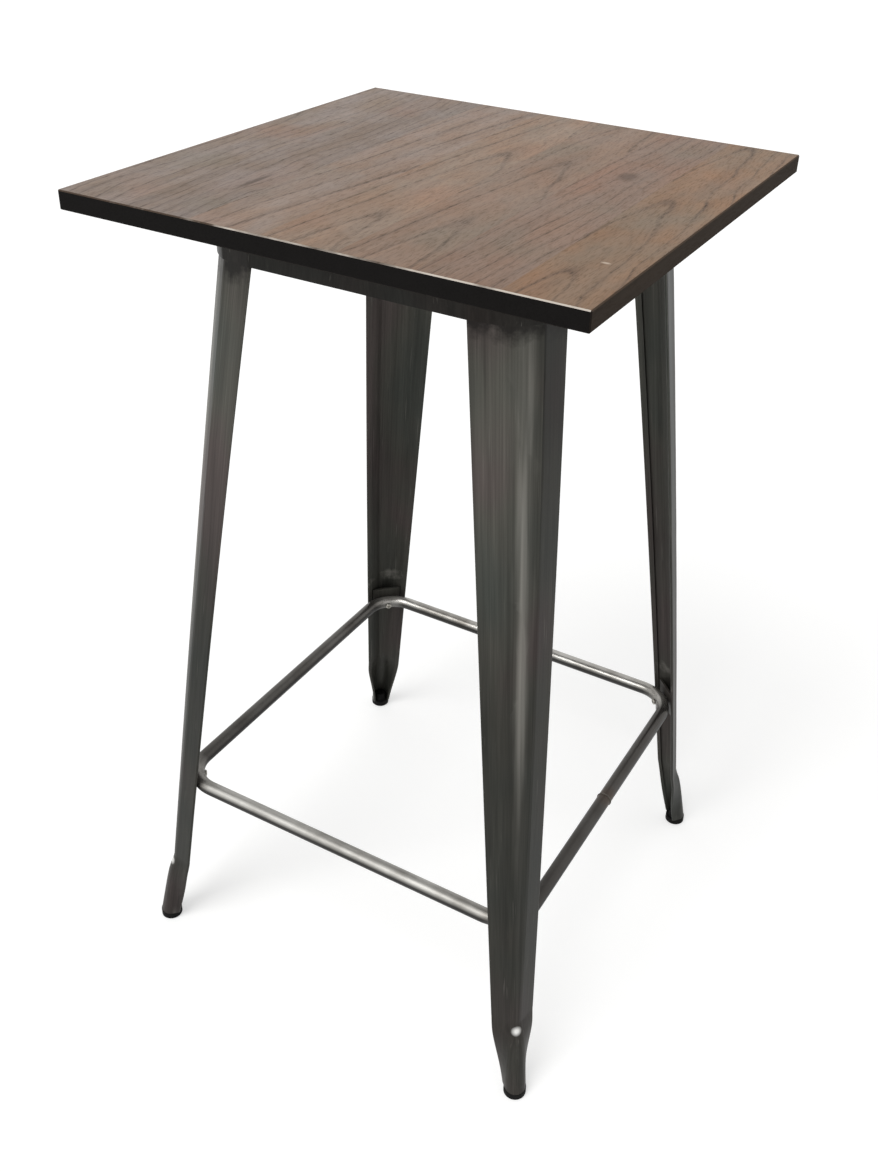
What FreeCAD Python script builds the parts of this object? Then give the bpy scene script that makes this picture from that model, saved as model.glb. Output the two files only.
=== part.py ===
import FreeCAD, Part
import math
import os
import Sketcher

# Pub table: an edge-glued board top on a steel band, four pressed-sheet legs and a tube footrest
doc = FreeCAD.newDocument("pub_table")
V = FreeCAD.Vector
UP = V(0, 0, 1)
QUARTER = 90
CORNER_NAMES = {"back_right": -45, "back_left": 45, "front_left": 135, "front_right": -135}
SIDE_NAMES = {"left_front": 0, "right_front": 90, "right_back": 180, "left_back": 270}

# Driving sizes: millimetres and degrees
sizes = doc.addObject("Spreadsheet::Sheet", "Sizes")
DRIVING = [
    ("table_height", 1080, "floor to the upper face of the top"),
    ("top_width", 600, "top across the boards"),
    ("top_length", 600, "top along the boards"),
    ("top_thickness", 21, "board thickness"),
    ("arris", 1.2, "worn chamfer on the outer edges of the top"),
    ("apron_height", 55, "height of the steel band under the top"),
    ("apron_sheet", 2, "sheet of the band"),
    ("flange_width", 26, "inward bend of a rail, measured from its outer face"),
    ("sleeve_tail", 14, "straight end of a sleeve beyond the leg"),
    ("sleeve_bend", 4, "bend between sleeve face and tail"),
    ("sleeve_gap", 0.3, "room between leg and sleeve"),
    ("leg_sheet", 1.5, "sheet of the legs"),
    ("hem_gap", 0.7, "open slit inside a hemmed edge"),
    ("leg_top_reach", 256.5, "table axis to nose, at the leg head"),
    ("leg_top_nose", 20, "half width of the rounded nose"),
    ("leg_top_nose_angle", 14, "turn of half the nose"),
    ("leg_top_bend", 6, "bend between nose and face"),
    ("leg_top_face_angle", 36, "slant of the face"),
    ("leg_top_face", 38.5, "flat width of the face"),
    ("leg_top_hem", 9, "width of the hem"),
    ("leg_mid_height", 600, "height of the middle section"),
    ("leg_mid_reach", 324.1, ""),
    ("leg_mid_nose", 16, ""),
    ("leg_mid_nose_angle", 14, ""),
    ("leg_mid_bend", 9, ""),
    ("leg_mid_face_angle", 36, ""),
    ("leg_mid_face", 27.4, ""),
    ("leg_mid_hem", 8, ""),
    ("leg_ankle_height", 122, "height where the nose steps out"),
    ("leg_ankle_reach", 392.1, ""),
    ("leg_ankle_nose", 3, ""),
    ("leg_ankle_nose_angle", 14, ""),
    ("leg_ankle_bend", 12, ""),
    ("leg_ankle_face_angle", 35, ""),
    ("leg_ankle_face", 24.3, ""),
    ("leg_ankle_hem", 5, ""),
    ("leg_heel_height", 86, "height where the step ends"),
    ("leg_heel_reach", 403.5, ""),
    ("leg_heel_nose", 6, ""),
    ("leg_heel_nose_angle", 22, ""),
    ("leg_heel_bend", 12, ""),
    ("leg_heel_face_angle", 48, ""),
    ("leg_heel_face", 22, ""),
    ("leg_heel_hem", 4, ""),
    ("leg_toe_reach", 420.2, ""),
    ("leg_toe_nose", 10, ""),
    ("leg_toe_nose_angle", 45, ""),
    ("leg_toe_bend", 14.2, ""),
    ("leg_toe_face_angle", 90, ""),
    ("leg_toe_face", 9, ""),
    ("leg_toe_hem", 3, ""),
    ("foot_cap_height", 11, "rubber below the leg"),
    ("foot_overhang", 0.5, "cap beyond the outside of the leg"),
    ("foot_edge", 2, "chamfer round the underside of the cap"),
    ("plug_gap", 2, "room between plug and leg sheet"),
    ("plug_taper", 2.5, "plug radius lost over its length"),
    ("foot_plug_length", 12, ""),
    ("ring_height", 263, "floor to the middle of the tube"),
    ("ring_tube", 19, "outer diameter of the tube"),
    ("ring_wall", 1.5, "wall of the tube"),
    ("ring_corner", 48, "bend radius of the tube, to its middle"),
    ("ring_nose_gap", 15.4, "tube to the nose of the leg, along the diagonal"),
    ("bracket_sheet", 3, "bracket plate"),
    ("bracket_height", 42, ""),
    ("bracket_width", 46, "plate before it is trimmed to the leg"),
    ("weld_gap", 0.2, "room between plate and leg"),
    ("seat_gap", 0.1, "room between tube and plate"),
    ("bolt_diameter", 6, ""),
    ("bolt_gap", 0.4, "added to the screw for the holes in tube and plate"),
    ("thread_gap", 0.1, "added to the screw for the bore of the nut"),
    ("bolt_head_diameter", 9.5, ""),
    ("bolt_head_height", 2.2, ""),
    ("bolt_head_crown", 5, "diameter of the flat on the round head"),
    ("bolt_head_lift", 0.5, "head above the hollow of the bend"),
    ("bolt_end", 2, "thread showing past the nut"),
    ("nut_width", 10, "across the flats"),
    ("nut_height", 4, ""),
    ("screw_pitch", 90, "between wood screws along a rail"),
    ("screw_inset", 14, "screw row behind the outer face of a rail"),
    ("screw_head_diameter", 8.5, ""),
    ("screw_head_height", 2.8, ""),
    ("screw_diameter", 4, ""),
    ("screw_length", 18, "below the head"),
    ("screw_gap", 0.8, "added to the screw for the hole in the rail"),
    ("pilot_gap", 0.2, "added to the screw for the hole in the board"),
    ("pilot_extra", 1, "pilot hole past the screw point"),
]
BOARD_COUNT = 7
SCREWS_PER_RAIL = 3
SHANK_SECTIONS = 9
END_SECTIONS = 9
PICK = 0.01


def put_size(name, value, note):
    """Write one named size on the next free row of the sheet."""
    row = put_size.next_row
    sizes.set(f"A{row}", name)
    sizes.set(f"B{row}", str(value))
    sizes.set(f"C{row}", note)
    sizes.setAlias(f"B{row}", name)
    put_size.next_row = row + 1


def size(name):
    """Number behind a name on the sheet."""
    return float(sizes.get(name))


put_size.next_row = 1
for entry in DRIVING:
    put_size(*entry)
doc.recompute()

leg_top = size("table_height") - size("top_thickness")
apron_bottom = leg_top - size("apron_height")

# Section of a leg, drawn for the corner on +Y: x across the corner, y outward
STATION_KEYS = ("reach", "nose", "nose_angle", "bend", "face_angle", "face", "hem")
STATION_HEIGHTS = {
    "top": leg_top,
    "mid": size("leg_mid_height"),
    "ankle": size("leg_ankle_height"),
    "heel": size("leg_heel_height"),
    "toe": size("foot_cap_height"),
}


def station(name):
    """Sizes of the leg section at one of its named heights."""
    found = {key: size(f"leg_{name}_{key}") for key in STATION_KEYS}
    found["height"] = STATION_HEIGHTS[name]
    return found


def station_at(height):
    """Leg section at any height from ankle to head, on a smooth curve through the three upper ones."""
    named = [station(name) for name in ("top", "mid", "ankle")]
    found = {"height": height}
    for key in STATION_KEYS:
        found[key] = 0
        for at in named:
            weight = 1
            for other in named:
                if other is not at:
                    weight *= (height - other["height"]) / (at["height"] - other["height"])
            found[key] += weight * at[key]
    return found


def end_station_at(height):
    """Leg section at any height from toe to ankle, on a curve that runs on from the shank through the heel."""
    ankle, heel, toe = (station(name) for name in ("ankle", "heel", "toe"))
    above = station_at(ankle["height"] + 1)
    high, low = (ankle, heel) if height > heel["height"] else (heel, toe)
    run = high["height"] - low["height"]
    share = (high["height"] - height) / run
    found = {"height": height}
    for key in STATION_KEYS:
        slopes = {
            "ankle": ankle[key] - above[key],
            "heel": (toe[key] - ankle[key]) / (ankle["height"] - toe["height"]),
            "toe": (toe[key] - heel[key]) / (heel["height"] - toe["height"]),
        }
        leaving, arriving = (slopes["ankle"], slopes["heel"]) if high is ankle else (slopes["heel"], slopes["toe"])
        found[key] = high[key] + (low[key] - high[key]) * share * share * (3 - 2 * share)
        found[key] += run * leaving * share * (1 - share) ** 2 - run * arriving * share * share * (1 - share)
    return found


def face_steps(at):
    """Nose, bend and flat face of the half section as (radius, turn, length) steps."""
    nose_radius = at["nose"] / math.sin(math.radians(at["nose_angle"]))
    return [
        (nose_radius, at["nose_angle"], 0),
        (at["bend"], at["face_angle"] - at["nose_angle"], 0),
        (0, 0, at["face"]),
    ]


def hem_steps(at):
    """Fold of the free edge and the hem lying inside the face."""
    fold_radius = size("leg_sheet") + size("hem_gap") / 2
    return [(fold_radius, 180, 0), (0, 0, at["hem"])]


def tail_steps(at):
    """Last bend of a sleeve and its straight end, which runs along the side of the table."""
    return [
        (size("sleeve_bend"), QUARTER / 2 - at["face_angle"], 0),
        (0, 0, size("sleeve_tail")),
    ]


def arc_point(start, heading, radius, turn):
    """Point reached after a clockwise turn of the given radius."""
    before = math.radians(heading)
    after = math.radians(heading + turn)
    run = V(math.sin(after) - math.sin(before), math.cos(after) - math.cos(before), 0)
    return start + run * radius


def half_outline(reach, steps, offset, height):
    """Spans from the nose to the free edge, moved outward by the offset."""
    here = V(0, reach + offset, height)
    heading = 0
    spans = []
    for radius, turn, length in steps:
        if turn:
            middle = arc_point(here, heading, radius + offset, turn / 2)
            end = arc_point(here, heading, radius + offset, turn)
        else:
            direction = V(math.cos(math.radians(heading)), -math.sin(math.radians(heading)), 0)
            middle = None
            end = here + direction * length
        spans.append((here, middle, end))
        heading += turn
        here = end
    return spans


def reverse(spans):
    """The same spans walked the other way."""
    return [(end, middle, start) for start, middle, end in reversed(spans)]


def mirror(spans):
    """The same spans on the other side of the corner."""
    def flip(point):
        return None if point is None else V(-point.x, point.y, point.z)
    return [tuple(flip(point) for point in span) for span in spans]


def wire(spans):
    """Closed wire of straight and round spans."""
    edges = []
    for start, middle, end in spans:
        curve = Part.LineSegment(start, end) if middle is None else Part.Arc(start, middle, end)
        edges.append(curve.toShape())
    return Part.Wire(edges)


def sheet_wire(at, steps, outer, inner, height):
    """Outline of folded sheet between two offsets of the section."""
    outside = half_outline(at["reach"], steps, outer, height)
    inside = half_outline(at["reach"], steps, inner, height)
    right_end = (outside[-1][2], None, inside[-1][2])
    left_end = reverse(mirror([right_end]))
    return wire(reverse(mirror(outside)) + outside + [right_end] + reverse(inside) + mirror(inside) + left_end)


def leg_wire(at):
    """Outline of the leg sheet at one section."""
    return sheet_wire(at, face_steps(at) + hem_steps(at), 0, -size("leg_sheet"), at["height"])


def hollow_wire(at):
    """Outline of the room inside the leg at one section, closed across its open side."""
    inside = half_outline(at["reach"], face_steps(at), -size("leg_sheet") - size("weld_gap"), at["height"])
    across = (inside[-1][2], None, mirror(inside)[-1][2])
    return wire(reverse(mirror(inside)) + inside + [across])


# Positions that follow from the leg
band_station = station_at(apron_bottom)
band_steps = face_steps(band_station) + tail_steps(band_station)
band_inner = size("sleeve_gap")
band_outer = band_inner + size("apron_sheet")
sleeve_end = half_outline(band_station["reach"], band_steps, band_outer, apron_bottom)[-1][2]
ring_station = station_at(size("ring_height"))
ring_apex = ring_station["reach"] - size("ring_nose_gap") - size("ring_tube") / 2
ring_half = (ring_apex - size("ring_corner")) / math.sqrt(2) + size("ring_corner")
plate_top = station_at(size("ring_height") + size("bracket_height") / 2)
plate_bottom = station_at(size("ring_height") - size("bracket_height") / 2)
leg_lean = math.degrees(math.atan2(plate_bottom["reach"] - plate_top["reach"], size("bracket_height")))
plate_seat = size("ring_tube") / 2 + size("seat_gap")

DERIVED = [
    ("leg_top", leg_top, "underside of the top"),
    ("apron_bottom", apron_bottom, "lower edge of the band"),
    ("rail_plane", (sleeve_end.y + sleeve_end.x) / math.sqrt(2), "table axis to the outer face of a rail"),
    ("rail_length", (sleeve_end.y - sleeve_end.x) * math.sqrt(2), "rail between two sleeves"),
    ("foot_reach", size("leg_toe_reach") - size("leg_toe_bend"), "table axis to the middle of a foot"),
    ("foot_cap_radius", size("leg_toe_bend") + size("foot_overhang"), "rubber cap"),
    ("foot_plug_radius", size("leg_toe_bend") - size("leg_sheet") - size("plug_gap"), "plug at the cap"),
    ("ring_half", ring_half, "table axis to the middle of a straight tube"),
    ("ring_apex", ring_apex, "table axis to the middle of the tube at a corner"),
    ("leg_lean", leg_lean, "lean of the leg at the ring"),
    ("plate_seat", plate_seat, "middle of the tube to the bracket plate"),
    ("plate_back", plate_seat + size("bracket_sheet"), "middle of the tube to the back of the plate"),
    ("board_width", size("top_width") / BOARD_COUNT, "one board"),
]
for entry in DERIVED:
    put_size(*entry)
doc.recompute()

finished = []


def keep(piece, label):
    """Name a finished piece and put it on the list of nodes."""
    piece.Label = label
    finished.append(piece)


def turned(angle):
    """Placement turned about the table axis."""
    return FreeCAD.Placement(V(0, 0, 0), FreeCAD.Rotation(UP, angle))


def origin_part(body, role):
    """Plane or axis of a body's own origin."""
    return next(feature for feature in body.Origin.OriginFeatures if feature.Role == role)


def sketch_on(body, name, role, offset=("0", "0", "0"), axis=UP, angle="0"):
    """Sketch on an origin plane, moved and turned in that plane's own frame."""
    sketch = body.newObject("Sketcher::SketchObject", name)
    sketch.AttachmentSupport = [(origin_part(body, role), "")]
    sketch.MapMode = "FlatFace"
    turn = float(sizes.evalExpression(angle))
    base = V(*[float(sizes.evalExpression(part)) for part in offset])
    sketch.AttachmentOffset = FreeCAD.Placement(base, FreeCAD.Rotation(axis, turn))
    for letter, part in zip("xyz", offset):
        sketch.setExpression(f"AttachmentOffset.Base.{letter}", part)
    if turn:
        sketch.setExpression("AttachmentOffset.Rotation.Angle", angle)
    return sketch


def pin(sketch, geometry, point, place):
    """Hold a point of the sketch at a place given by two expressions."""
    for kind, formula in zip(("DistanceX", "DistanceY"), place):
        value = float(sizes.evalExpression(formula))
        index = sketch.addConstraint(Sketcher.Constraint(kind, -1, 1, geometry, point, value))
        sketch.setExpression(f"Constraints[{index}]", formula)


def draw_polygon(sketch, corners):
    """Closed outline through corners given as pairs of expressions."""
    places = [V(*[float(sizes.evalExpression(formula)) for formula in corner]) for corner in corners]
    count = len(corners)
    for index in range(count):
        sketch.addGeometry(Part.LineSegment(places[index], places[(index + 1) % count]), False)
    for index in range(count):
        sketch.addConstraint(Sketcher.Constraint("Coincident", index, 2, (index + 1) % count, 1))
    for index, corner in enumerate(corners):
        pin(sketch, index, 1, corner)


def draw_circle(sketch, place, diameter):
    """Circle with its middle at two expressions and a diameter expression."""
    middle = V(*[float(sizes.evalExpression(formula)) for formula in place])
    across = float(sizes.evalExpression(diameter))
    index = sketch.addGeometry(Part.Circle(middle, UP, across / 2), False)
    limit = sketch.addConstraint(Sketcher.Constraint("Diameter", index, across))
    sketch.setExpression(f"Constraints[{limit}]", diameter)
    pin(sketch, index, 3, place)


def pad(body, name, sketch, length, midplane=False):
    """Pad of a sketch with its length bound to an expression."""
    feature = body.newObject("PartDesign::Pad", name)
    feature.Profile = sketch
    feature.Midplane = midplane
    feature.setExpression("Length", length)
    return feature


def pocket_up(body, name, sketch, depth):
    """Pocket that runs upward from the plane of its sketch."""
    feature = body.newObject("PartDesign::Pocket", name)
    feature.Profile = sketch
    feature.Reversed = True
    feature.setExpression("Length", depth)
    return feature


def revolve(body, name, sketch, axis, angle=360, kind="Revolution"):
    """Revolution or groove of a sketch about one of its own axes."""
    feature = body.newObject(f"PartDesign::{kind}", name)
    feature.Profile = sketch
    feature.ReferenceAxis = (sketch, [axis])
    feature.Angle = angle
    return feature


def four_corners(body, name, features):
    """Repeat features at the four corners or sides of the table."""
    doc.recompute()
    pattern = body.newObject("PartDesign::PolarPattern", name)
    pattern.Originals = features
    pattern.Axis = (origin_part(body, "Z_Axis"), [""])
    pattern.Angle = 360
    pattern.Occurrences = 4
    body.Tip = pattern
    doc.recompute()


def new_body(name):
    """Empty body for one node."""
    return doc.addObject("PartDesign::Body", name)


def solid_feature(name, shape, angle):
    """Pressed piece with its shape made from sheet sizes, turned to its corner."""
    feature = doc.addObject("Part::Feature", name)
    feature.Shape = shape
    feature.Placement = turned(angle).multiply(shape.Placement)
    return feature


# Boards of the top, glued edge to edge, with pilot holes for the screws of the rails
SCREW_STEPS = [index - (SCREWS_PER_RAIL - 1) / 2 for index in range(SCREWS_PER_RAIL)]
screw_places = []
for step in SCREW_STEPS:
    along = f"{step} * Sizes.screw_pitch"
    row = "(Sizes.rail_plane - Sizes.screw_inset)"
    for sign in ("-", ""):
        screw_places.append((along, sign + row))
        screw_places.append((sign + row, along))

for number in range(BOARD_COUNT):
    board = new_body(f"Board{number}")
    left = f"-Sizes.top_width / 2 + {number} * Sizes.board_width"
    right = f"-Sizes.top_width / 2 + {number + 1} * Sizes.board_width"
    front = "-Sizes.top_length / 2"
    back = "Sizes.top_length / 2"
    outline = sketch_on(board, f"BoardOutline{number}", "XY_Plane", ("0", "0", "Sizes.leg_top"))
    draw_polygon(outline, [(left, front), (right, front), (right, back), (left, back)])
    slab = pad(board, f"BoardSlab{number}", outline, "Sizes.top_thickness")
    doc.recompute()

    x_left = float(sizes.evalExpression(left))
    x_right = float(sizes.evalExpression(right))
    outer_x = size("top_width") / 2
    outer_y = size("top_length") / 2
    worn = []
    for index, edge in enumerate(slab.Shape.Edges):
        middle = edge.CenterOfMass
        on_end = abs(abs(middle.y) - outer_y) < PICK and abs(middle.x) < outer_x - PICK
        level = abs(edge.Vertexes[0].Z - edge.Vertexes[-1].Z) < PICK
        on_side = abs(abs(middle.x) - outer_x) < PICK
        if (on_end and level) or on_side:
            worn.append(f"Edge{index + 1}")
    chamfer = board.newObject("PartDesign::Chamfer", f"BoardArris{number}")
    chamfer.Base = (slab, worn)
    chamfer.setExpression("Size", "Sizes.arris")
    doc.recompute()

    inside = []
    for place in screw_places:
        if x_left < float(sizes.evalExpression(place[0])) < x_right:
            inside.append(place)
    if inside:
        pilots = sketch_on(board, f"PilotPlan{number}", "XY_Plane", ("0", "0", "Sizes.leg_top"))
        for place in inside:
            draw_circle(pilots, place, "Sizes.screw_diameter + Sizes.pilot_gap")
        depth = "Sizes.screw_length - Sizes.apron_sheet + Sizes.pilot_extra"
        pocket_up(board, f"Pilots{number}", pilots, depth)
    keep(board, f"top_board_{number + 1}")

# Rails of the band, bent inward along the upper edge, screwed to the boards from below
for name, angle in SIDE_NAMES.items():
    rail = new_body(f"Rail_{name}")
    profile = sketch_on(rail, f"RailProfile_{name}", "YZ_Plane")
    draw_polygon(profile, [
        ("-Sizes.rail_plane", "Sizes.apron_bottom"),
        ("-Sizes.rail_plane + Sizes.apron_sheet", "Sizes.apron_bottom"),
        ("-Sizes.rail_plane + Sizes.apron_sheet", "Sizes.leg_top - Sizes.apron_sheet"),
        ("-Sizes.rail_plane + Sizes.flange_width", "Sizes.leg_top - Sizes.apron_sheet"),
        ("-Sizes.rail_plane + Sizes.flange_width", "Sizes.leg_top"),
        ("-Sizes.rail_plane", "Sizes.leg_top"),
    ])
    pad(rail, f"RailBar_{name}", profile, "Sizes.rail_length", midplane=True)
    plan = sketch_on(rail, f"RailHoles_{name}", "XY_Plane", ("0", "0", "Sizes.leg_top - Sizes.apron_sheet"))
    for step in SCREW_STEPS:
        place = (f"{step} * Sizes.screw_pitch", "-Sizes.rail_plane + Sizes.screw_inset")
        draw_circle(plan, place, "Sizes.screw_diameter + Sizes.screw_gap")
    pocket_up(rail, f"RailDrilling_{name}", plan, "Sizes.apron_sheet")
    rail.Placement = turned(angle)
    keep(rail, f"apron_rail_{name}")

# Sleeves of the band, wrapped round the leg heads and butted to the rails
sleeve_outline = sheet_wire(band_station, band_steps, band_outer, band_inner, apron_bottom)
sleeve_shape = Part.Face(sleeve_outline).extrude(UP * size("apron_height"))
for name, angle in CORNER_NAMES.items():
    keep(solid_feature(f"Sleeve_{name}", sleeve_shape, angle), f"corner_sleeve_{name}")

# Legs: pressed sheet, open to the middle of the table, with a rounded end for the foot
ankle_height = size("leg_ankle_height")
rise = (leg_top - ankle_height) / (SHANK_SECTIONS - 1)
shank_stations = [station_at(ankle_height + index * rise) for index in range(SHANK_SECTIONS)]
shank = Part.makeLoft([leg_wire(at) for at in shank_stations], True, False)
drop = (ankle_height - size("foot_cap_height")) / (END_SECTIONS - 1)
end_stations = [end_station_at(ankle_height - index * drop) for index in range(END_SECTIONS)]
end = Part.makeLoft([leg_wire(at) for at in end_stations], True, False)
leg_shape = shank.fuse(end).Solids[0]
for name, angle in CORNER_NAMES.items():
    keep(solid_feature(f"Leg_{name}", leg_shape, angle), f"leg_{name}")

# Rubber feet: a cap under the leg and a tapered plug inside it
for name, angle in CORNER_NAMES.items():
    foot = new_body(f"Foot_{name}")
    profile = sketch_on(foot, f"FootProfile_{name}", "YZ_Plane", ("Sizes.foot_reach", "0", "0"))
    draw_polygon(profile, [
        ("0", "0"),
        ("Sizes.foot_cap_radius - Sizes.foot_edge", "0"),
        ("Sizes.foot_cap_radius", "Sizes.foot_edge"),
        ("Sizes.foot_cap_radius", "Sizes.foot_cap_height"),
        ("Sizes.foot_plug_radius", "Sizes.foot_cap_height"),
        ("Sizes.foot_plug_radius - Sizes.plug_taper", "Sizes.foot_cap_height + Sizes.foot_plug_length"),
        ("0", "Sizes.foot_cap_height + Sizes.foot_plug_length"),
    ])
    revolve(foot, f"FootTurning_{name}", profile, "V_Axis")
    foot.Placement = turned(angle)
    keep(foot, f"rubber_foot_{name}")

# Footrest ring: straight tubes and bends in one closed run, drilled at the corners
ring = new_body("Ring")
SPAN = "(Sizes.ring_half - Sizes.ring_corner)"
BORE = "Sizes.ring_tube - 2 * Sizes.ring_wall"
tube_plan = sketch_on(ring, "TubePlan", "XZ_Plane", axis=V(0, 1, 0), angle="45")
for across in ("Sizes.ring_tube", BORE):
    draw_circle(tube_plan, ("Sizes.ring_half", "Sizes.ring_height"), across)
straight = pad(ring, "Straight", tube_plan, f"2 * {SPAN}", midplane=True)
bend_place = ("0", "0", f"-{SPAN} * sqrt(2)")
bend_plan = sketch_on(ring, "BendPlan", "XZ_Plane", bend_place, V(0, 1, 0), "45")
for across in ("Sizes.ring_tube", BORE):
    draw_circle(bend_plan, ("Sizes.ring_corner", "Sizes.ring_height"), across)
bend = revolve(ring, "Bend", bend_plan, "V_Axis", QUARTER)
four_corners(ring, "RingRun", [straight, bend])
BOLT_FRAME = ("Sizes.ring_apex", "Sizes.ring_height", "0")
drill_plan = sketch_on(ring, "DrillPlan", "YZ_Plane", BOLT_FRAME, UP, "Sizes.leg_lean")
draw_polygon(drill_plan, [
    ("-Sizes.ring_tube", "0"),
    ("Sizes.ring_tube", "0"),
    ("Sizes.ring_tube", "(Sizes.bolt_diameter + Sizes.bolt_gap) / 2"),
    ("-Sizes.ring_tube", "(Sizes.bolt_diameter + Sizes.bolt_gap) / 2"),
])
drilling = revolve(ring, "Drilling", drill_plan, "H_Axis", kind="Groove")
four_corners(ring, "RingDrilling", [drilling])
ring.Placement = turned(QUARTER / 2)
keep(ring, "footrest_ring")

# Bracket plates, welded across the inside of the legs and leaning with them
hollow = Part.makeLoft([hollow_wire(at) for at in shank_stations], True, False)
lean = FreeCAD.Placement(V(0, ring_apex, size("ring_height")), FreeCAD.Rotation(V(1, 0, 0), leg_lean))
blank_corner = V(-size("bracket_width") / 2, plate_seat, -size("bracket_height") / 2)
blank = Part.makeBox(size("bracket_width"), size("bracket_sheet"), size("bracket_height"), blank_corner)
bore_radius = (size("bolt_diameter") + size("bolt_gap")) / 2
bore_start = V(0, plate_seat - size("bracket_sheet"), 0)
bore = Part.makeCylinder(bore_radius, 3 * size("bracket_sheet"), bore_start, V(0, 1, 0))
blank = blank.cut(bore)
blank.Placement = lean
plate_shape = blank.common(hollow).Solids[0]
for name, angle in CORNER_NAMES.items():
    keep(solid_feature(f"Bracket_{name}", plate_shape, angle), f"ring_bracket_{name}")

# Screws through the corners of the ring, round heads on the inside of the bend
bolts = new_body("Bolts")
bolt_plan = sketch_on(bolts, "BoltProfile", "YZ_Plane", BOLT_FRAME, UP, "Sizes.leg_lean")
HEAD_SEAT = "-Sizes.ring_tube / 2 - Sizes.bolt_head_lift"
BOLT_TIP = "Sizes.plate_back + Sizes.nut_height + Sizes.bolt_end"
draw_polygon(bolt_plan, [
    (f"{HEAD_SEAT} - Sizes.bolt_head_height", "0"),
    (BOLT_TIP, "0"),
    (BOLT_TIP, "Sizes.bolt_diameter / 2"),
    (HEAD_SEAT, "Sizes.bolt_diameter / 2"),
    (HEAD_SEAT, "Sizes.bolt_head_diameter / 2"),
    (f"{HEAD_SEAT} - Sizes.bolt_head_height / 3", "Sizes.bolt_head_diameter / 2"),
    (f"{HEAD_SEAT} - Sizes.bolt_head_height", "Sizes.bolt_head_crown / 2"),
])
bolt = revolve(bolts, "Bolt", bolt_plan, "H_Axis")
four_corners(bolts, "BoltSet", [bolt])
bolts.Placement = turned(QUARTER / 2)
keep(bolts, "ring_screws")

# Nuts behind the bracket plates
nuts = new_body("Nuts")
NUT_PLACE = (
    "0",
    "Sizes.ring_height + Sizes.plate_back * sin(Sizes.leg_lean)",
    "-Sizes.ring_apex - Sizes.plate_back * cos(Sizes.leg_lean)",
)
nut_plan = sketch_on(nuts, "NutPlan", "XZ_Plane", NUT_PLACE, V(1, 0, 0), "Sizes.leg_lean")
hexagon = []
for corner in range(0, 360, 60):
    across = "Sizes.nut_width / sqrt(3)"
    hexagon.append((f"{across} * cos({corner})", f"{across} * sin({corner})"))
draw_polygon(nut_plan, hexagon)
draw_circle(nut_plan, ("0", "0"), "Sizes.bolt_diameter + Sizes.thread_gap")
nut = pad(nuts, "Nut", nut_plan, "Sizes.nut_height")
nut.Reversed = True
four_corners(nuts, "NutSet", [nut])
nuts.Placement = turned(QUARTER / 2)
keep(nuts, "ring_nuts")

# Wood screws, up through the rails into the boards
screws = new_body("Screws")
HEAD_TOP = "Sizes.leg_top - Sizes.apron_sheet"
head_plan = sketch_on(screws, "HeadPlan", "XY_Plane", ("0", "0", f"{HEAD_TOP} - Sizes.screw_head_height"))
shank_plan = sketch_on(screws, "ShankPlan", "XY_Plane", ("0", "0", HEAD_TOP))
for step in SCREW_STEPS:
    place = (f"{step} * Sizes.screw_pitch", "-Sizes.rail_plane + Sizes.screw_inset")
    draw_circle(head_plan, place, "Sizes.screw_head_diameter")
    draw_circle(shank_plan, place, "Sizes.screw_diameter")
heads = pad(screws, "Heads", head_plan, "Sizes.screw_head_height")
shanks = pad(screws, "Shanks", shank_plan, "Sizes.screw_length")
four_corners(screws, "ScrewSet", [heads, shanks])
keep(screws, "top_screws")

# Every object must be sound before anything is written
doc.recompute()
for item in doc.Objects:
    if "Invalid" in item.State or "Error" in item.State:
        raise RuntimeError(f"{item.Label}: {item.State}")
for piece in finished:
    if piece.Shape.isNull() or not piece.Shape.isValid() or not piece.Shape.Solids:
        raise RuntimeError(f"{piece.Label}: no sound solid")

os.makedirs("parts", exist_ok=True)
for piece in finished:
    piece.Shape.exportStep(f"parts/{piece.Label}.step")
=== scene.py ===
import math
import bpy
from mathutils import Euler, Matrix, Vector


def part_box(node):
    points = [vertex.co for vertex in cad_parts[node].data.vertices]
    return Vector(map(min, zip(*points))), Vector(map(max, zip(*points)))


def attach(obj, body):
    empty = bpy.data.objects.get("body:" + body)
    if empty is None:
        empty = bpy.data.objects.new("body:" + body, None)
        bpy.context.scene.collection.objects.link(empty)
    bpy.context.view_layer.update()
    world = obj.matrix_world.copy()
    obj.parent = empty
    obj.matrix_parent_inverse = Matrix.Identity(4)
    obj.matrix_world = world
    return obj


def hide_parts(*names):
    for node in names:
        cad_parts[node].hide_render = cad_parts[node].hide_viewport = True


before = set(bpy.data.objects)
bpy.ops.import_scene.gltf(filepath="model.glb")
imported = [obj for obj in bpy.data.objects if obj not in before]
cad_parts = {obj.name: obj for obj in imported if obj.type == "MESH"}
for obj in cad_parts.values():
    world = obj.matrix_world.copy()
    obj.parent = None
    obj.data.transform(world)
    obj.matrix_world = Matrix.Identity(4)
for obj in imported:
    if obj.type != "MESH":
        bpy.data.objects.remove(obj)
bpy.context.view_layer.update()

# Table top: seven boards of open-grained timber glued edge to edge, the grain running back from the left-front side.
# The face is stained a greyed brown and oiled, the ends and sides almost black, and the left-front arris is painted
# pale, partly rubbed wear and partly a painted highlight.
# Screwed down from below through the rails of the band.
TOP_FACE = 1.080
BOARD_SHIFT = (0.37, 0.91)
RING_WANDER = 0.030
RING_RIPPLE = 0.008
LINES_BETWEEN = 3.7


def linear(code):
    """Linear colour of an sRGB hex code."""
    shares = [int(code[i:i + 2], 16) / 255 for i in (1, 3, 5)]
    return [s / 12.92 if s <= 0.04045 else ((s + 0.055) / 1.055) ** 2.4 for s in shares] + [1.0]


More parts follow.
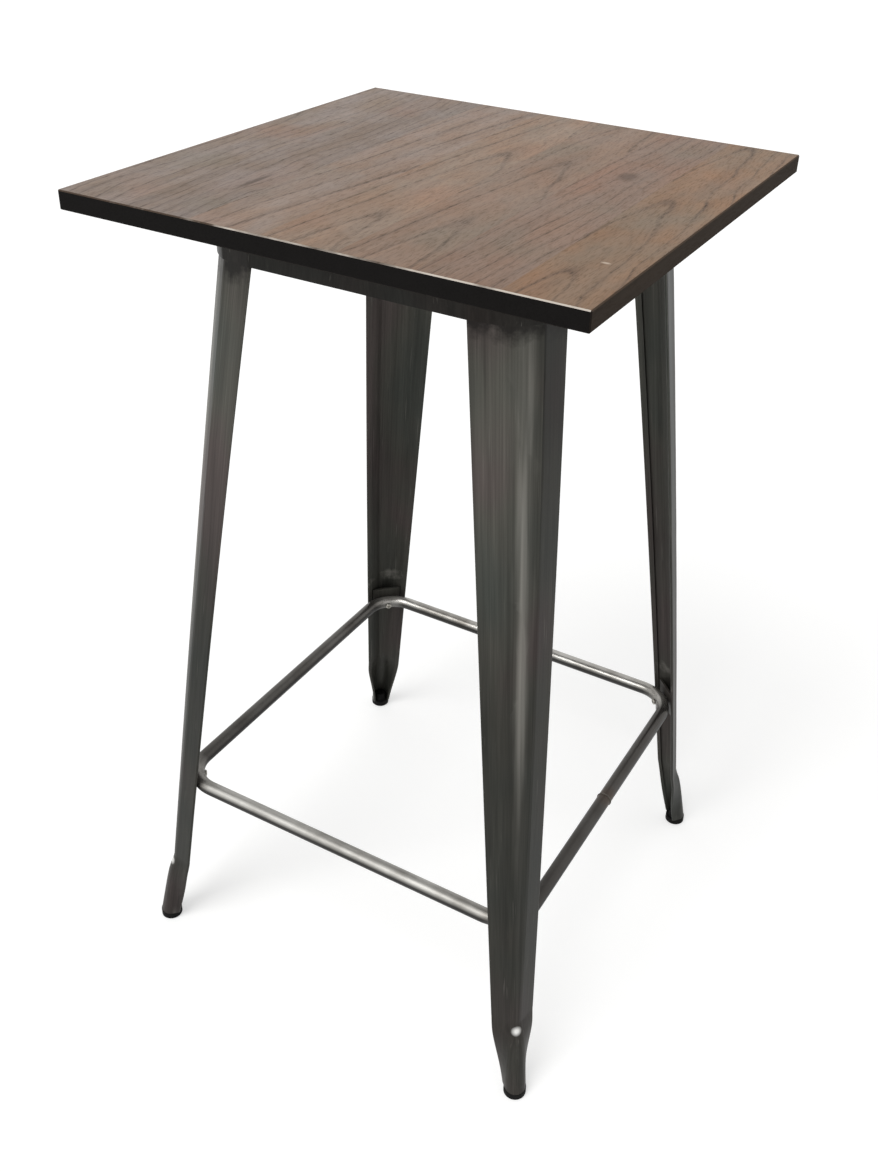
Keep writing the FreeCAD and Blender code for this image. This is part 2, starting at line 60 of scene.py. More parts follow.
def feed(tree, node, inputs):
    """Set a node's inputs, each a value or the socket it is linked from."""
    for key, value in inputs.items():
        if isinstance(value, bpy.types.NodeSocket):
            tree.links.new(value, node.inputs[key])
        else:
            node.inputs[key].default_value = value


def add(tree, kind, inputs=None, **settings):
    """Add a node with its settings and inputs."""
    node = tree.nodes.new(kind)
    for name, value in settings.items():
        setattr(node, name, value)
    feed(tree, node, inputs or {})
    return node


def calc(tree, operation, *values):
    """Result of a sum on numbers or sockets."""
    return add(tree, "ShaderNodeMath", dict(enumerate(values)), operation=operation).outputs[0]


def vectors(tree, operation, *values):
    """Result of a sum on vectors: a number for lengths and products, else a vector."""
    node = add(tree, "ShaderNodeVectorMath", dict(enumerate(values)), operation=operation)
    return node.outputs["Value" if operation in ("LENGTH", "DISTANCE", "DOT_PRODUCT") else "Vector"]


def remap(tree, value, low, high, to_low=0.0, to_high=1.0, shape="LINEAR"):
    """Value carried over from one range to another and held at its ends."""
    ranges = {"Value": value, "From Min": low, "From Max": high, "To Min": to_low, "To Max": to_high}
    return add(tree, "ShaderNodeMapRange", ranges, interpolation_type=shape).outputs[0]


def noise(tree, vector, cells, detail, roughness=0.5):
    """Noise with this many cells to the metre, given as one number or one for each axis."""
    if isinstance(cells, tuple):
        vector = add(tree, "ShaderNodeMapping", {"Vector": vector, "Scale": cells}).outputs[0]
        cells = 1.0
    inputs = {"Vector": vector, "Scale": cells, "Detail": detail, "Roughness": roughness}
    return add(tree, "ShaderNodeTexNoise", inputs).outputs["Fac"]


def blend(tree, factor, first, second, how="MIX"):
    """Mix of two colours, each a hex code or a socket."""
    first, second = (linear(colour) if isinstance(colour, str) else colour for colour in (first, second))
    inputs = {"Factor": factor, 6: first, 7: second}
    return add(tree, "ShaderNodeMix", inputs, data_type="RGBA", blend_type=how).outputs[2]


def shade(tree, colour, amount):
    """Colour made darker or paler by an amount."""
    return blend(tree, 1.0, colour, amount, "MULTIPLY")


def new_material(name):
    """Empty node material and its Principled shader, joined to the output."""
    material = bpy.data.materials.new(name)
    material.use_nodes = True
    tree = material.node_tree
    tree.nodes.clear()
    shader = add(tree, "ShaderNodeBsdfPrincipled")
    add(tree, "ShaderNodeOutputMaterial", {"Surface": shader.outputs["BSDF"]})
    return material, tree, shader


def dress(node, material):
    """Give a CAD node one material on all its faces."""
    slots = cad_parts[node].data.materials
    slots.clear()
    slots.append(material)


def stained_board(number, heart, depth, taper, ring, warm, grey, mark):
    """Stained and oiled board: growth rings round a heart line, open pores, cloudy stain, black edges.
    heart is where the rings peak across the board, depth how far under the face the heart lies,
    taper how fast the rings close in along it, ring their spacing, warm and grey the two tones of the stain,
    mark a small flaw on the face as place, half length, half width and colour."""
    material, tree, shader = new_material(f"stained_timber_board_{number}")
    place = add(tree, "ShaderNodeTexCoord").outputs
    axes = add(tree, "ShaderNodeSeparateXYZ", {"Vector": place["Object"]}).outputs
    start = (BOARD_SHIFT[0] * number, BOARD_SHIFT[1] * number, 0)
    cut = add(tree, "ShaderNodeMapping", {"Vector": place["Object"], "Location": start}).outputs[0]
    # slow wander of the rings along the board, a few millimetres over a hand's breadth
    wobble = calc(tree, "ADD", noise(tree, cut, (16, 5, 16), 2.0), -0.5)
    across = calc(tree, "MULTIPLY_ADD", wobble, RING_WANDER, calc(tree, "ADD", axes["X"], -heart))
    above = calc(tree, "ADD", axes["Z"], depth - TOP_FACE)
    radius = vectors(tree, "LENGTH", add(tree, "ShaderNodeCombineXYZ", {"X": across, "Y": above}).outputs[0])
    cone = calc(tree, "MULTIPLY_ADD", axes["Y"], taper, radius)
    ripple = calc(tree, "MULTIPLY_ADD", wobble, RING_RIPPLE, cone)
    # the dark porous line of each year, narrow and fading out to one side, with fainter lines between
    year = calc(tree, "FRACT", calc(tree, "MULTIPLY", ripple, 1 / ring))
    ramp = add(tree, "ShaderNodeValToRGB", {"Fac": year})
    stops = ramp.color_ramp.elements
    stops[0].color = (1, 1, 1, 1)
    stops[1].color = (1, 1, 1, 1)
    for spot, amount in ((0.04, 0.85), (0.10, 0.28), (0.32, 0.0), (0.94, 0.10)):
        stops.new(spot).color = (amount, amount, amount, 1)
    line = ramp.outputs["Color"]
    between = calc(tree, "PINGPONG", calc(tree, "MULTIPLY", ripple, LINES_BETWEEN / ring), 0.5)
    lines = calc(tree, "MAXIMUM", line, remap(tree, between, 0.16, 0.0, to_high=0.36))
    # pores: slits some 12 mm long, drawn a millimetre and a half wide so that they show
    slit = noise(tree, cut, (640, 80, 640), 3.0, 0.7)
    pores = remap(tree, slit, 0.50, 0.68)
    # broad streaks along the grain and clouds where the stain took unevenly
    streak = noise(tree, cut, (90, 5, 90), 3.0)
    cloud = noise(tree, cut, (24, 11, 24), 4.0)
    stain = blend(tree, remap(tree, cloud, 0.36, 0.64), warm, grey)
    stain = shade(tree, stain, remap(tree, streak, 0.30, 0.70, 0.86, 1.12))
    # patches a hand wide where the stain came out rusty or olive
    patch = noise(tree, cut, (10, 8, 10), 2.0)
    stain = blend(tree, remap(tree, patch, 0.56, 0.74, to_high=0.22), stain, "#966850")
    stain = blend(tree, remap(tree, patch, 0.45, 0.28, to_high=0.40), stain, "#756E60")
    # the lines fade in the clouds and are broken into dashes, and the pores crowd along them
    lines = calc(tree, "MULTIPLY", lines, remap(tree, cloud, 0.38, 0.60, 0.74, 0.36))
    lines = calc(tree, "MULTIPLY", lines, remap(tree, slit, 0.34, 0.56, to_low=0.56))
    grain = blend(tree, lines, stain, "#40332A")
    dots = calc(tree, "MULTIPLY", pores, calc(tree, "MULTIPLY_ADD", line, 0.34, 0.26))
    face = blend(tree, dots, grain, "#241A14")
    if mark:
        (mark_x, mark_y), half_length, half_width, tone = mark
        centred = add(tree, "ShaderNodeMapping", {
            "Vector": place["Object"],
            "Location": (-mark_x / half_width, -mark_y / half_length, 0),
            "Scale": (1 / half_width, 1 / half_length, 0)})
        away = vectors(tree, "LENGTH", centred.outputs[0])
        face = blend(tree, remap(tree, away, 1.0, 0.4, to_high=0.7), face, tone)
    # sides by their normal: end grain drinks more stain than the long edge
    normal = add(tree, "ShaderNodeSeparateXYZ", {"Vector": place["Normal"]}).outputs
    edge = blend(tree, calc(tree, "ABSOLUTE", normal["Y"]), "#3B322A", "#131110")
    mottled = blend(tree, 0.4, edge, streak, "MULTIPLY")
    up = remap(tree, normal["Z"], 0.80, 0.95)
    body = blend(tree, up, mottled, face)
    # every arris is thinned, and along the left-front side painted pale, more so towards the front corner: partly
    # rubbed wear, partly a painted highlight on the arris that faces the light
    tilt = calc(tree, "COMPARE", normal["Z"], 0.707, 0.10)
    body = blend(tree, calc(tree, "MULTIPLY", tilt, 0.7), body, "#54463B")
    arris = calc(tree, "MULTIPLY", tilt, calc(tree, "LESS_THAN", normal["Y"], -0.5))
    wear_and_painted_light = calc(tree, "MULTIPLY_ADD", axes["X"], 0.60, noise(tree, place["Object"], 30.0, 3.0))
    worn_and_highlit = calc(tree, "MULTIPLY", remap(tree, wear_and_painted_light, 0.36, 0.66, to_high=0.85), arris)
    # the oiled face is satin, the soaked edges are dull
    dull = remap(tree, up, 0.0, 1.0, 0.85, 0.46)
    sunk = calc(tree, "MULTIPLY", dots, -1.0)
    relief = add(tree, "ShaderNodeBump", {"Height": sunk, "Strength": 0.4, "Distance": 0.0004})
    feed(tree, shader, {
        "Base Color": blend(tree, worn_and_highlit, body, "#CFC6BB"),
        "Roughness": calc(tree, "MULTIPLY_ADD", pores, 0.15, dull),
        "Normal": relief.outputs["Normal"],
        "Specular IOR Level": 0.12})
    return material


# heart, depth, taper, ring, warm and grey stain, flaw: hearts under boards 4, 5 and 7 give their arched grain
# the left boards' greyer stains are partly painted sheen, for the greyish sheen over the left of the top
BOARDS = [
    (-0.36, 0.050, 0.045, 0.0150, "#837162", "#8A7D75", None),
    (-0.31, 0.050, 0.030, 0.0130, "#7E6C5E", "#857870", ((-0.155, -0.16), 0.045, 0.005, "#3A2C23")),
    (-0.03, 0.060, 0.060, 0.0200, "#8A7362", "#8C7C71", None),
    (0.015, 0.030, 0.064, 0.0180, "#8F745F", "#8C7969", None),
    (0.096, 0.030, 0.066, 0.0190, "#876C58", "#867263", None),
    (0.36, 0.050, 0.030, 0.0140, "#846957", "#836E60", ((0.168, 0.09), 0.022, 0.014, "#4E3C30")),
    (0.243, 0.030, 0.062, 0.0160, "#88684D", "#826B57", ((0.262, -0.185), 0.003, 0.006, "#C9B9A8")),
]
for number, stain in enumerate(BOARDS, 1):
    dress(f"top_board_{number}", stained_board(number, *stain))

# Steel band and legs: raw rolled sheet, cut, pressed and welded, then wiped down and clear lacquered.
# It is dark grey with soft streaks up the leg, faint blue, green and pink blooms and hair scratches.
# The band slips over the leg heads and is welded to them from inside, which smoked the leg below it.
BAND_FOOT = 1.004
SMOKE_DEPTH = 0.050
SMOKE_CLEAR = 0.004
LEG_LEAN = 0.109
LEG_SHIFT = (3.1, 5.7, 0)
KNUCKLE = (0.2795, 0.2795, 0.107)
KNUCKLE_REACH = 0.0075
KNUCKLE_CORE = 0.002
BRACKET_TOP = 0.284
INSIDE_HIGHLIGHT_RISE = 0.025


def lacquered_sheet(name, shades, wear_and_painted_light, smoked):
    """Raw rolled steel under satin lacquer.
    Its third argument sets how strong the painted shade on the flanks, the painted highlights on the nose and inside
    the leg and the painted glint on the knuckles are, smoked how dark the weld smoke is."""
    material, tree, shader = new_material(name)
    place = add(tree, "ShaderNodeTexCoord").outputs
    axes = add(tree, "ShaderNodeSeparateXYZ", {"Vector": place["Object"]}).outputs
    # three tints in hand-sized clouds
    tints = add(tree, "ShaderNodeValToRGB", {"Fac": noise(tree, place["Object"], (9, 9, 5), 2.0)})
    stops = tints.color_ramp.elements
    stops[0].position = 0.34
    stops[0].color = linear(shades[0])
    stops[1].position = 0.66
    stops[1].color = linear(shades[2])
    stops.new(0.50).color = linear(shades[1])
    # the sheet's marks lean with the leg, each leg with marks of its own
    side = vectors(tree, "ABSOLUTE", place["Object"])
    own = vectors(tree, "MULTIPLY_ADD", vectors(tree, "SIGN", place["Object"]), LEG_SHIFT, side)
    fall = calc(tree, "MULTIPLY", axes["Z"], LEG_LEAN)
    run = vectors(tree, "ADD", own, add(tree, "ShaderNodeCombineXYZ", {"X": fall, "Y": fall}).outputs[0])
    # rolling streaks: a centimetre wide and a third of a metre long, with lines of a millimetre or two in them
    streak = noise(tree, run, (80, 80, 2.5), 4.0, 0.6)
    rolled = noise(tree, run, (520, 520, 6), 2.0)
    sheet = shade(tree, tints.outputs[0], remap(tree, streak, 0.28, 0.72, 0.74, 1.28))
    sheet = shade(tree, sheet, remap(tree, rolled, 0.3, 0.7, 0.84, 1.16))
    # painted light: the upper legs are painted paler and the lower ones darker, for the light that falls on the
    # upper legs
    sheet = shade(tree, sheet, remap(tree, axes["Z"], 0.55, 1.0, 0.58, 1.65))
    # painted light and shade: the inside of the leg is painted paler low down and darker towards the band
    plan = add(tree, "ShaderNodeCombineXYZ", {"X": axes["X"], "Y": axes["Y"]}).outputs[0]
    outside = calc(tree, "GREATER_THAN", vectors(tree, "DOT_PRODUCT", plan, place["Normal"]), 0.0)
    inside_painted_light = remap(tree, axes["Z"], 0.50, 0.95, 1.32, 0.85)
    sheet = shade(tree, sheet, remap(tree, outside, 0.0, 1.0, inside_painted_light, 1.0))
    # painted shade: the outer flanks facing along the boards, the side away from the light, are painted darker
    # towards the band
    normal = add(tree, "ShaderNodeSeparateXYZ", {"Vector": place["Normal"]}).outputs
    lead = calc(tree, "SUBTRACT", calc(tree, "ABSOLUTE", normal["X"]), calc(tree, "ABSOLUTE", normal["Y"]))
    flank_painted_shade = remap(tree, lead, 0.10, 0.45, to_high=1.4 * wear_and_painted_light)
    flank_painted_shade = calc(tree, "MULTIPLY", flank_painted_shade, remap(tree, axes["Z"], 0.55, 0.90))
    sheet = blend(tree, calc(tree, "MULTIPLY", flank_painted_shade, outside), sheet, "#161615")
    # painted highlight on the nose, where the outward normal points across the corner, in long broken streaks that
    # fade downward
    nose_highlight = remap(tree, calc(tree, "ABSOLUTE", lead), 0.26, 0.0, to_high=wear_and_painted_light, shape="SMOOTHSTEP")
    nose_highlight = calc(tree, "MULTIPLY", nose_highlight, outside)
    nose_highlight = calc(tree, "MULTIPLY", nose_highlight, remap(tree, noise(tree, run, (130, 130, 4), 1.0), 0.42, 0.72, to_low=0.25))
    nose_highlight = calc(tree, "MULTIPLY", nose_highlight, remap(tree, axes["Z"], 0.30, 0.62, to_low=0.25))
    sheet = blend(tree, nose_highlight, sheet, "#A6A39C")
    # a painted glint on the knuckle over each foot
    knuckle_glint = vectors(tree, "DISTANCE", side, KNUCKLE)
    knuckle_glint = remap(tree, knuckle_glint, KNUCKLE_REACH, KNUCKLE_CORE, to_high=1.9 * wear_and_painted_light)
    sheet = blend(tree, calc(tree, "MULTIPLY", knuckle_glint, outside), sheet, "#F0EFEC")
    # scratches: hair lines a few centimetres long, drawn a little wide so that they show
    slant = add(tree, "ShaderNodeMapping", {"Vector": run, "Scale": (420, 420, 10), "Rotation": (0.03, 0.02, 0.3)})
    hair = noise(tree, slant.outputs[0], 1.0, 1.0)
    sheet = blend(tree, remap(tree, hair, 0.70, 0.80, to_high=0.25), sheet, "#8A8781")
    # weld smoke in a ragged cloud under the band
    ragged = noise(tree, place["Object"], 30.0, 5.0, 0.65)
    smoke = remap(tree, axes["Z"], BAND_FOOT - SMOKE_DEPTH, BAND_FOOT - SMOKE_CLEAR)
    smoke = remap(tree, calc(tree, "MULTIPLY", smoke, ragged), 0.30, 0.52, to_high=smoked)
    sheet = blend(tree, smoke, sheet, "#232120")
    # painted highlights: ragged pale marks inside the leg just above the bracket
    over = calc(tree, "ABSOLUTE", calc(tree, "ADD", axes["Z"], -BRACKET_TOP - INSIDE_HIGHLIGHT_RISE))
    inside_highlight = remap(tree, over, 0.040, 0.005, to_high=2 * wear_and_painted_light)
    inside_highlight = remap(tree, calc(tree, "MULTIPLY", inside_highlight, ragged), 0.46, 0.66, to_high=0.30)
    inside_highlight = calc(tree, "MULTIPLY", inside_highlight, calc(tree, "SUBTRACT", 1.0, outside))
    relief = add(tree, "ShaderNodeBump", {"Height": streak, "Strength": 0.05, "Distance": 0.0006})
    feed(tree, shader, {
        "Base Color": blend(tree, inside_highlight, sheet, "#A09D96"),
        "Roughness": remap(tree, streak, 0.3, 0.7, 0.34, 0.50),
        "Normal": relief.outputs["Normal"],
        "Metallic": 0.30,
        "Specular IOR Level": 0.10})
    return material


CORNERS = {"back_right": (1, 1), "back_left": (-1, 1), "front_left": (-1, -1), "front_right": (1, -1)}
SIDES = ("left_front", "right_front", "right_back", "left_back")
leg_sheet = lacquered_sheet("lacquered_leg_sheet", ("#3E403C", "#464540", "#4A4341"), wear_and_painted_light=0.5, smoked=0.85)
# painted shade: the band's shades are set darker than the legs' for the shade under the overhanging top
band_sheet_painted_darker = lacquered_sheet("lacquered_band_sheet", ("#1F201E", "#22211F", "#24201E"), wear_and_painted_light=0.0, smoked=0.0)
for side in SIDES:
    dress(f"apron_rail_{side}", band_sheet_painted_darker)
for corner in CORNERS:
    dress(f"corner_sleeve_{corner}", band_sheet_painted_darker)
    dress(f"leg_{corner}", leg_sheet)
    dress(f"ring_bracket_{corner}", leg_sheet)

# Feet: moulded black rubber, a cap under each leg with a plug pushed up into its open end.
# Matt, with a faint grey bloom and scuffs where it meets the floor.
rubber, tree, shader = new_material("moulded_black_rubber")
place = add(tree, "ShaderNodeTexCoord").outputs
scuff = noise(tree, place["Object"], 160.0, 4.0)
relief = add(tree, "ShaderNodeBump", {"Height": scuff, "Strength": 0.25, "Distance": 0.0005})
feed(tree, shader, {
    "Base Color": blend(tree, remap(tree, scuff, 0.40, 0.80), "#0B0B0B", "#1A1918"),
    "Normal": relief.outputs["Normal"],
    "Roughness": 0.75,
    "Specular IOR Level": 0.1})
for corner in CORNERS:
    dress(f"rubber_foot_{corner}", rubber)

# Footrest ring: round steel tube bent at the corners and butt welded once, on the right-front run.
# Belt-brushed along its length and clear lacquered, so it is the brightest metal on the table.
RING_TUBE = 0.0095
RING_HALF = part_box("footrest_ring")[1][0] - RING_TUBE
RING_HEIGHT = 0.263
RING_CORNER = 0.048
SEAM = (RING_HALF, 0.003, RING_HEIGHT)
HEAT_REACH = 0.024
HEAT_CORE = 0.011
FRONT_RUN_SHADE_LEVEL = 0.80
tube, tree, shader = new_material("brushed_steel_tube")
place = add(tree, "ShaderNodeTexCoord").outputs
axes = add(tree, "ShaderNodeSeparateXYZ", {"Vector": place["Object"]}).outputs
x_size = calc(tree, "ABSOLUTE", axes["X"])
y_size = calc(tree, "ABSOLUTE", axes["Y"])
# brush lines: about a millimetre apart and several centimetres long, along each run
along_x = add(tree, "ShaderNodeMapping", {"Vector": place["Object"], "Scale": (16, 800, 800)}).outputs[0]
along_y = add(tree, "ShaderNodeMapping", {"Vector": place["Object"], "Scale": (800, 16, 800)}).outputs[0]
on_x = calc(tree, "GREATER_THAN", x_size, y_size)
lay = add(tree, "ShaderNodeMix", {"Factor": on_x, 4: along_x, 5: along_y}, data_type="VECTOR").outputs[1]
brush = noise(tree, lay, 1.0, 3.0)
tarnish = remap(tree, noise(tree, place["Object"], 18.0, 4.0), 0.38, 0.70)
steel = blend(tree, tarnish, "#BDBBB6", "#827E78")
steel = shade(tree, steel, remap(tree, brush, 0.3, 0.7, 0.84, 1.12))
# painted shade: the left-front run is painted a little darker, and it is also made a little rougher
front_run_shade = remap(tree, axes["Y"], -0.2, 0.2, FRONT_RUN_SHADE_LEVEL, 1.0)
steel = shade(tree, steel, front_run_shade)
# painted shade: the two runs along the boards are painted darker, the right-front one most, but not their bends
turned = remap(tree, calc(tree, "SUBTRACT", x_size, y_size), -0.025, 0.035, shape="SMOOTHSTEP")
side_runs_shade = calc(tree, "MULTIPLY", turned, remap(tree, axes["X"], -0.2, 0.2, 0.84, 0.94))
bend_start = RING_HALF - 0.9 * RING_CORNER
bend_middle = RING_HALF - 0.4 * RING_CORNER
straight = remap(tree, calc(tree, "MINIMUM", x_size, y_size), bend_start, bend_middle, 1.0, 0.1)
steel = blend(tree, calc(tree, "MULTIPLY", side_runs_shade, straight), steel, "#3B3835")
# painted shade on the underside of the tube, less of it round the bends
normal = add(tree, "ShaderNodeSeparateXYZ", {"Vector": place["Normal"]}).outputs
underside_shade = remap(tree, normal["Z"], 0.66, 0.12, to_high=0.95, shape="SMOOTHSTEP")
underside_shade = calc(tree, "MULTIPLY", underside_shade, remap(tree, straight, 0.0, 1.0, 0.45, 1.0))
steel = blend(tree, underside_shade, steel, "#1D1C1B")
# heat tint each side of the weld, fading over a centimetre
heat = vectors(tree, "DISTANCE", place["Object"], SEAM)
heat = remap(tree, heat, HEAT_REACH, HEAT_CORE, to_high=0.7)
gloss = remap(tree, brush, 0.3, 0.7, 0.24, 0.38)
feed(tree, shader, {
    "Base Color": blend(tree, heat, steel, "#4A3F37"),
    "Roughness": calc(tree, "ADD", gloss, remap(tree, front_run_shade, FRONT_RUN_SHADE_LEVEL, 1.0, 0.16, 0.0)),
    "Metallic": 0.75})
dress("footrest_ring", tube)

# Butt weld of the ring: a low bead run round the tube where its two ends meet, wire brushed.
# Steel like the tube, darkened by the heat.
BEAD_RADIUS = 0.0011
BEAD_ROUGHNESS = 0.00025
bpy.ops.object.select_all(action="DESELECT")
bpy.ops.mesh.primitive_torus_add(
    major_radius=RING_TUBE, minor_radius=BEAD_RADIUS, major_segments=72, minor_segments=12,
    location=SEAM, rotation=(math.pi / 2, 0, 0))
bead = bpy.context.object
bead.name = "ring_weld"
bpy.ops.object.transform_apply(location=True, rotation=True, scale=True)
bpy.ops.object.mode_set(mode="EDIT")
bpy.ops.mesh.select_all(action="SELECT")
bpy.ops.transform.vertex_random(offset=BEAD_ROUGHNESS, seed=4)
bpy.ops.object.mode_set(mode="OBJECT")
bpy.ops.object.shade_smooth()
weld, tree, shader = new_material("wire_brushed_weld")
place = add(tree, "ShaderNodeTexCoord").outputs
scale_skin = noise(tree, place["Object"], 600.0, 3.0)
relief = add(tree, "ShaderNodeBump", {"Height": scale_skin, "Strength": 0.5, "Distance": 0.0004})
feed(tree, shader, {
    "Base Color": blend(tree, scale_skin, "#2C2825", "#6A645C"),
    "Normal": relief.outputs["Normal"],
    "Metallic": 0.6,
    "Roughness": 0.45})
bead.data.materials.append(weld)
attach(bead, "root")

# Ring screws: zinc-plated M6 button-head screws, turned and rolled, one through each bend of the ring.
# The low round head with its hexagon socket sits on the inside of the bend, the nut behind the bracket plate.
HEAD_RADIUS = 0.00475
HEAD_HEIGHT = 0.0022
HEAD_ROUND = 0.0015
HEAD_SEAT = RING_TUBE + 0.0005
SHANK_RADIUS = 0.003
SHANK_END = RING_TUBE + 0.0091
SOCKET = 0.0040
SOCKET_CUTTER = 0.003
SCREW_LEAN = math.radians(8.3)
RING_APEX = (RING_HALF - RING_CORNER) * math.sqrt(2) + RING_CORNER
SMOOTH_BELOW = math.radians(35)
zinc, tree, shader = new_material("zinc_plated_steel")
place = add(tree, "ShaderNodeTexCoord").outputs
spangle = remap(tree, noise(tree, place["Object"], 420.0, 3.0), 0.35, 0.65)
feed(tree, shader, {
    "Base Color": blend(tree, spangle, "#A8A59D", "#84817B"),
    "Metallic": 1.0,
    "Roughness": 0.32})


def sink(piece, cutter):
    """Cut the cutter's shape out of the piece and drop the cutter."""
    cut = piece.modifiers.new("recess", "BOOLEAN")
    cut.object = cutter
    cut.solver = "EXACT"
    bpy.ops.object.select_all(action="DESELECT")
    piece.select_set(True)
    bpy.context.view_layer.objects.active = piece
    bpy.ops.object.modifier_apply(modifier="recess")
    bpy.data.objects.remove(cutter, do_unlink=True)


def join(pieces, name):
    """Join pieces into the first one and name it."""
    bpy.ops.object.select_all(action="DESELECT")
    for piece in pieces:
        piece.select_set(True)
    bpy.context.view_layer.objects.active = pieces[0]
    bpy.ops.object.join()
    pieces[0].name = name
    return pieces[0]


def cylinder(vertices, radius, low, high):
    """Upright cylinder between two heights on the Z axis, its place applied."""
    bpy.ops.object.select_all(action="DESELECT")
    bpy.ops.mesh.primitive_cylinder_add(
        vertices=vertices, radius=radius, depth=high - low, location=(0, 0, (high + low) / 2))
    bpy.ops.object.transform_apply(location=True, rotation=True, scale=True)
    return bpy.context.object


def turned_head(radius, height, seat, bevel, shank_radius, shank_end, vertices):
    """Screw along +Z: a round head below its seat, with a rounded outer edge, and a plain shank to its end."""
    head = cylinder(vertices, radius, seat - height, seat)
    bpy.ops.object.mode_set(mode="EDIT")
    bpy.ops.mesh.select_all(action="DESELECT")
    bpy.ops.mesh.select_mode(type="EDGE")
    bpy.ops.object.mode_set(mode="OBJECT")
    points = head.data.vertices
    for rim in head.data.edges:
        rim.select = all(points[v].co.z < seat - height * 0.99 for v in rim.vertices)
    bpy.ops.object.mode_set(mode="EDIT")
    bpy.ops.mesh.bevel(offset=bevel, segments=5, affect="EDGES")
    bpy.ops.object.mode_set(mode="OBJECT")
    return join([head, cylinder(vertices, shank_radius, seat, shank_end)], "screw")


def copy_at(model, matrix):
    """Copy of a piece with its own mesh, set at a place that is then applied."""
    bpy.ops.object.select_all(action="DESELECT")
    model.select_set(True)
    bpy.context.view_layer.objects.active = model
    bpy.ops.object.duplicate(linked=False)
    copy = bpy.context.object
    copy.matrix_world = matrix
    bpy.ops.object.transform_apply(location=True, rotation=True, scale=True)
    return copy


model = turned_head(HEAD_RADIUS, HEAD_HEIGHT, -HEAD_SEAT, HEAD_ROUND, SHANK_RADIUS, SHANK_END, vertices=40)
bpy.ops.mesh.primitive_cylinder_add(
    vertices=6, radius=SOCKET / math.sqrt(3), depth=SOCKET_CUTTER, location=(0, 0, -HEAD_SEAT - HEAD_HEIGHT))
sink(model, bpy.context.object)
copies = []
for sign_x, sign_y in CORNERS.values():
    outward = Vector((sign_x, sign_y, 0)).normalized()
    axis = outward * math.cos(SCREW_LEAN) + Vector((0, 0, math.sin(SCREW_LEAN)))
    place_at = Matrix.Translation(outward * RING_APEX + Vector((0, 0, RING_HEIGHT)))
    copies.append(copy_at(model, place_at @ axis.to_track_quat("Z", "Y").to_matrix().to_4x4()))
bpy.data.objects.remove(model, do_unlink=True)
ring_screws = join(copies, "button_head_screws")
bpy.ops.object.shade_smooth_by_angle(angle=SMOOTH_BELOW)
ring_screws.data.materials.clear()
ring_screws.data.materials.append(zinc)
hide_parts("ring_screws")
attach(ring_screws, "root")
dress("ring_nuts", zinc)

# Wood screws: zinc-plated pan heads with a cross recess, driven up through the rail flanges into the boards.
# Three to a rail; their heads show only from below.
FLANGE = TOP_FACE - 0.023
PAN_RADIUS = 0.00425
PAN_HEIGHT = 0.0028
PAN_ROUND = 0.0014
CORE_RADIUS = 0.002
SCREW_LENGTH = 0.018
RECESS_LENGTH = 0.0046
RECESS_WIDTH = 0.0010
RECESS_CUTTER = 0.0034
SCREW_ROW = -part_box("apron_rail_left_front")[0][1] - 0.014
SCREW_PITCH = 0.090
model = turned_head(PAN_RADIUS, PAN_HEIGHT, FLANGE, PAN_ROUND, CORE_RADIUS, FLANGE + SCREW_LENGTH, vertices=32)
for size_x, size_y in ((RECESS_WIDTH, RECESS_LENGTH), (RECESS_LENGTH, RECESS_WIDTH)):
    bpy.ops.mesh.primitive_cube_add(
        size=1, location=(0, 0, FLANGE - PAN_HEIGHT), scale=(size_x, size_y, RECESS_CUTTER))
    sink(model, bpy.context.object)
copies = []
for quarter in range(4):
    for step in (-1, 0, 1):
        spin = Matrix.Rotation(quarter * math.pi / 2, 4, "Z")
        copies.append(copy_at(model, spin @ Matrix.Translation((step * SCREW_PITCH, -SCREW_ROW, 0))))
bpy.data.objects.remove(model, do_unlink=True)
wood_screws = join(copies, "cross_head_wood_screws")
bpy.ops.object.shade_smooth_by_angle(angle=SMOOTH_BELOW)
wood_screws.data.materials.clear()
wood_screws.data.materials.append(zinc)
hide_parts("top_screws")
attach(wood_screws, "root")

# Studio: a pale paper floor under the feet, lit by one broad soft light from the left of the camera.
# The room round it is even and white, and shows as white to the eye and in the metal.
FLOOR_SIZE = 60
FLOOR_LIFT = 0.47
ROOM_FILL = 0.60
KEY_ENERGY = 1.75
KEY_SPREAD = 38
KEY_TURN = -12
KEY_HEIGHT = 50


def seen(tree):
    """One for the rays that the eye sees by, directly or in a surface, else nought."""
    rays = add(tree, "ShaderNodeLightPath").outputs
    direct = calc(tree, "MAXIMUM", rays["Is Camera Ray"], rays["Is Glossy Ray"])
    return calc(tree, "MAXIMUM", direct, rays["Is Transmission Ray"])


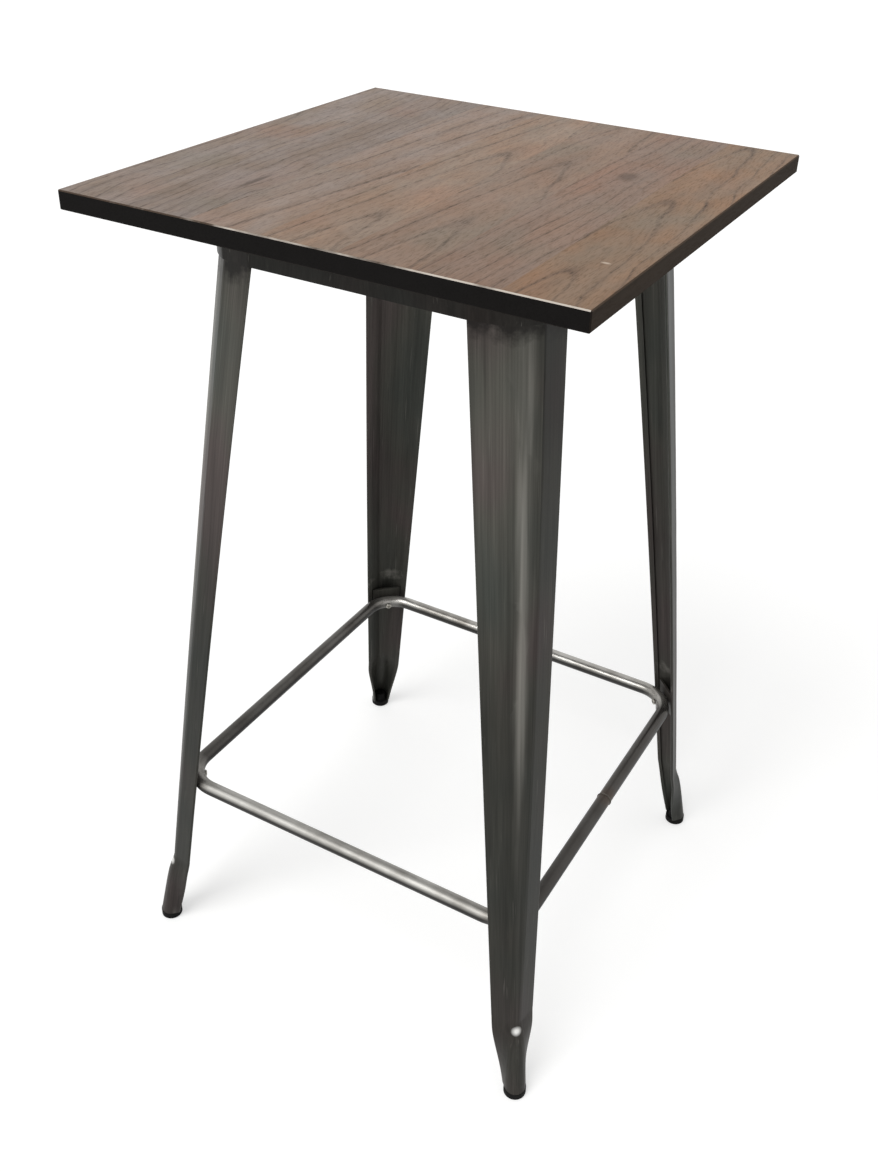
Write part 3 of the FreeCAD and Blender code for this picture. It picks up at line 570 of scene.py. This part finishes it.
bpy.ops.object.select_all(action="DESELECT")
bpy.ops.mesh.primitive_plane_add(size=FLOOR_SIZE, location=(0, 0, 0))
floor = bpy.context.object
floor.name = "paper_floor"
paper, tree, shader = new_material("pale_paper")
feed(tree, shader, {
    "Base Color": linear("#CFCFCE"),
    "Roughness": 0.9,
    "Specular IOR Level": 0.0,
    "Emission Color": (1, 1, 1, 1),
    "Emission Strength": calc(tree, "MULTIPLY", seen(tree), FLOOR_LIFT)})
floor.data.materials.append(paper)

world = bpy.data.worlds.new("white_room")
bpy.context.scene.world = world
world.use_nodes = True
tree = world.node_tree
tree.nodes.clear()
fill = remap(tree, seen(tree), 0.0, 1.0, ROOM_FILL, 1.0)
room = add(tree, "ShaderNodeBackground", {"Color": (1, 1, 1, 1), "Strength": fill})
add(tree, "ShaderNodeOutputWorld", {"Surface": room.outputs[0]})

key_light = bpy.data.lights.new("soft_key", "SUN")
key_light.energy = KEY_ENERGY
key_light.angle = math.radians(KEY_SPREAD)
key = bpy.data.objects.new("soft_key", key_light)
key.rotation_euler = Euler((math.radians(90 - KEY_HEIGHT), 0, math.radians(KEY_TURN)))
bpy.context.scene.collection.objects.link(key)

# Camera: a standing eye a little above the top, turned to the front leg and looking down on it.
# Its place and lens were fitted to the outlines of the top, the ring and the feet.
IMAGE_WIDTH = 878
IMAGE_HEIGHT = 1172
LENS_PIXELS = 1232.2847
CENTRE_X = 455
CENTRE_Y = 540
SENSOR = 36
EYE = (0.6694, -1.1992, 1.4554)
EYE_TURN = 28.6393
EYE_DOWN = 31.9642
EYE_ROLL = 1.9423
camera_data = bpy.data.cameras.new("camera")
camera = bpy.data.objects.new("camera", camera_data)
camera.location = EYE
turn = Matrix.Rotation(math.radians(EYE_TURN), 3, "Z")
tip = Matrix.Rotation(math.radians(90 - EYE_DOWN), 3, "X")
roll = Matrix.Rotation(math.radians(EYE_ROLL), 3, "Z")
camera.rotation_euler = (turn @ tip @ roll).to_euler()
camera_data.sensor_fit = "AUTO"
camera_data.sensor_width = SENSOR
camera_data.lens = LENS_PIXELS * SENSOR / IMAGE_HEIGHT
camera_data.shift_x = (IMAGE_WIDTH / 2 - CENTRE_X) / IMAGE_HEIGHT
camera_data.shift_y = (CENTRE_Y - IMAGE_HEIGHT / 2) / IMAGE_HEIGHT
camera_data.clip_end = 200
bpy.context.scene.collection.objects.link(camera)
bpy.context.scene.camera = camera
bpy.context.scene.view_settings.view_transform = "Standard"
